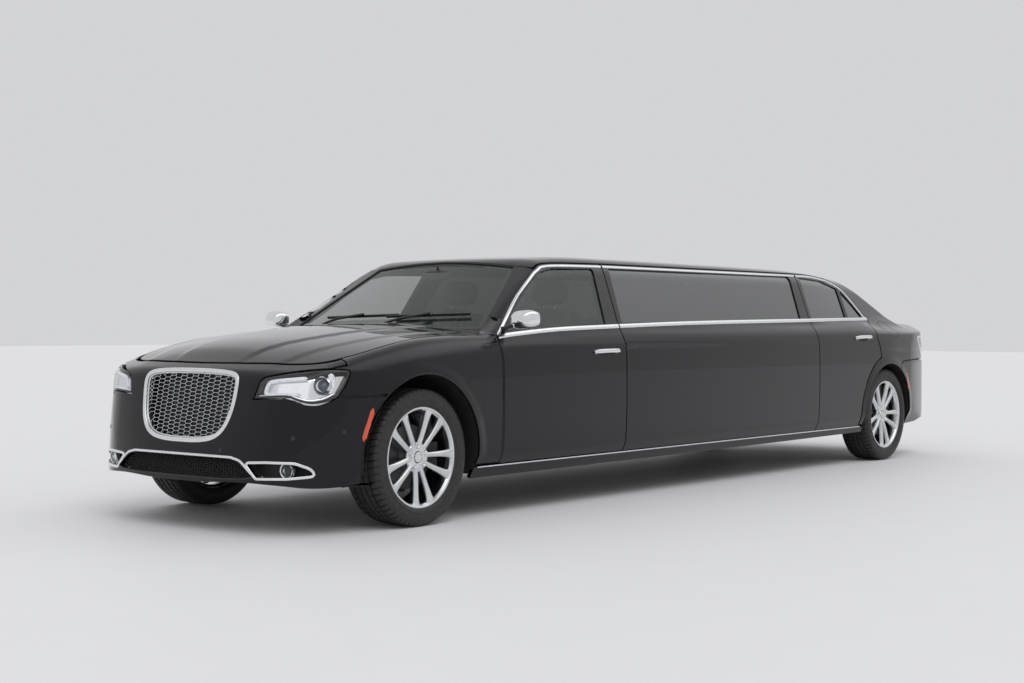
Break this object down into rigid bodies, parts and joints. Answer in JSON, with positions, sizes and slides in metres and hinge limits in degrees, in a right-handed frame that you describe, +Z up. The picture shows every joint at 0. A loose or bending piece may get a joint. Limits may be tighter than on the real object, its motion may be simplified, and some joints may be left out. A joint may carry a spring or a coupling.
{
  "type": "stretch limousine",
  "caption": "Long black stretch limousine with opening doors, hood and trunk lid, steered front wheels and a hollow saloon.",
  "frame": {"origin": "on the ground, midway along the car and on its centre plane", "axes": "+Z up, the nose points along -Y, +X is the car's left"},
  "size_m": [2.146, 7.584, 1.5149],
  "materials": {
    "body_paint": "deep gloss black clearcoat",
    "tinted_glass": "dark tinted side glass",
    "clear_glass": "green-tinged clear glass",
    "chrome": "polished chrome",
    "lamp_lens": "clear lamp lens over bright reflectors",
    "red_lens": "red lamp lens",
    "black_plastic": "grained matt black",
    "leather": "soft black leather",
    "carpet": "dark carpet over painted floor",
    "wood": "dark lacquered veneer",
    "chassis": "black painted chassis metal",
    "steel": "machined steel",
    "alloy": "polished alloy",
    "tyre": "black rubber"
  },
  "bodies": {
    "body": {"a_pillars": "body_paint", "bar_cabinet": "wood", "cowl": "black_plastic", "dashboard": "black_plastic", "engine_block": "chassis", "exhaust": "steel", "firewall": "chassis", "floor_pan": "carpet", "front_bumper": "body_paint", "front_fenders": "body_paint", "front_frame": "chassis", "front_seats": "leather", "front_suspension": "chassis", "grille": "chrome", "headlights": "lamp_lens", "lower_grille": "black_plastic", "partition": "black_plastic", "quarter_panels": "body_paint", "rear_bumper": "body_paint", "rear_suspension": "chassis", "rear_window": "tinted_glass", "roof": "body_paint", "saloon_seats": "leather", "side_panels": "body_paint", "side_windows": "tinted_glass", "sills": "body_paint", "steering_wheel": "leather", "taillights": "red_lens", "trunk_floor": "carpet", "wheel_liners": "black_plastic", "windshield": "clear_glass"},
    "hood": {"hood": "body_paint"},
    "trunk_lid": {"trunk_lid": "body_paint"},
    "front_door_left": {"front_door_left": "body_paint", "front_door_glass_left": "clear_glass", "mirror_left": "chrome"},
    "rear_door_left": {"rear_door_left": "body_paint", "rear_door_glass_left": "tinted_glass"},
    "knuckle_left": {"knuckle_left": "chassis"},
    "front_wheel_left": {"front_tyre_left": "tyre", "front_rim_left": "alloy"},
    "rear_wheel_left": {"rear_tyre_left": "tyre", "rear_rim_left": "alloy"},
    "front_door_right": {"front_door_right": "body_paint", "front_door_glass_right": "clear_glass", "mirror_right": "chrome"},
    "rear_door_right": {"rear_door_right": "body_paint", "rear_door_glass_right": "tinted_glass"},
    "knuckle_right": {"knuckle_right": "chassis"},
    "front_wheel_right": {"front_tyre_right": "tyre", "front_rim_right": "alloy"},
    "rear_wheel_right": {"rear_tyre_right": "tyre", "rear_rim_right": "alloy"}
  },
  "joints": [
    {"name": "hood_hinge", "type": "hinge", "parent": "body", "child": "hood", "pos_m": [0, -2.29, 1.062], "axis": [-1, 0, 0], "range_deg": [0, 50]},
    {"name": "trunk_lid_hinge", "type": "hinge", "parent": "body", "child": "trunk_lid", "pos_m": [0, 3.162, 1.158], "axis": [1, 0, 0], "range_deg": [0, 75]},
    {"name": "front_door_hinge_left", "type": "hinge", "parent": "body", "child": "front_door_left", "pos_m": [0.929, -2.167, 0.6], "axis": [0, 0, -1], "range_deg": [0, 65]},
    {"name": "rear_door_hinge_left", "type": "hinge", "parent": "body", "child": "rear_door_left", "pos_m": [0.929, 1.598, 0.6], "axis": [0, 0, -1], "range_deg": [0, 65]},
    {"name": "steering_left", "type": "hinge", "parent": "body", "child": "knuckle_left", "pos_m": [0.76, -2.902, 0.364], "axis": [0, 0, 1], "range_deg": [-35, 35]},
    {"name": "front_wheel_spin_left", "type": "hinge", "parent": "knuckle_left", "child": "front_wheel_left", "pos_m": [0.805, -2.902, 0.364], "axis": [-1, 0, 0], "continuous": true},
    {"name": "rear_wheel_spin_left", "type": "hinge", "parent": "body", "child": "rear_wheel_left", "pos_m": [0.805, 2.69, 0.364], "axis": [-1, 0, 0], "continuous": true},
    {"name": "front_door_hinge_right", "type": "hinge", "parent": "body", "child": "front_door_right", "pos_m": [-0.929, -2.167, 0.6], "axis": [0, 0, 1], "range_deg": [0, 65]},
    {"name": "rear_door_hinge_right", "type": "hinge", "parent": "body", "child": "rear_door_right", "pos_m": [-0.929, 1.598, 0.6], "axis": [0, 0, 1], "range_deg": [0, 65]},
    {"name": "steering_right", "type": "hinge", "parent": "body", "child": "knuckle_right", "pos_m": [-0.76, -2.902, 0.364], "axis": [0, 0, 1], "range_deg": [-35, 35]},
    {"name": "front_wheel_spin_right", "type": "hinge", "parent": "knuckle_right", "child": "front_wheel_right", "pos_m": [-0.805, -2.902, 0.364], "axis": [-1, 0, 0], "continuous": true},
    {"name": "rear_wheel_spin_right", "type": "hinge", "parent": "body", "child": "rear_wheel_right", "pos_m": [-0.805, 2.69, 0.364], "axis": [-1, 0, 0], "continuous": true}
  ],
  "couplings": [
    {"joint": "steering_right", "follows": "steering_left", "ratio": 1}
  ]
}
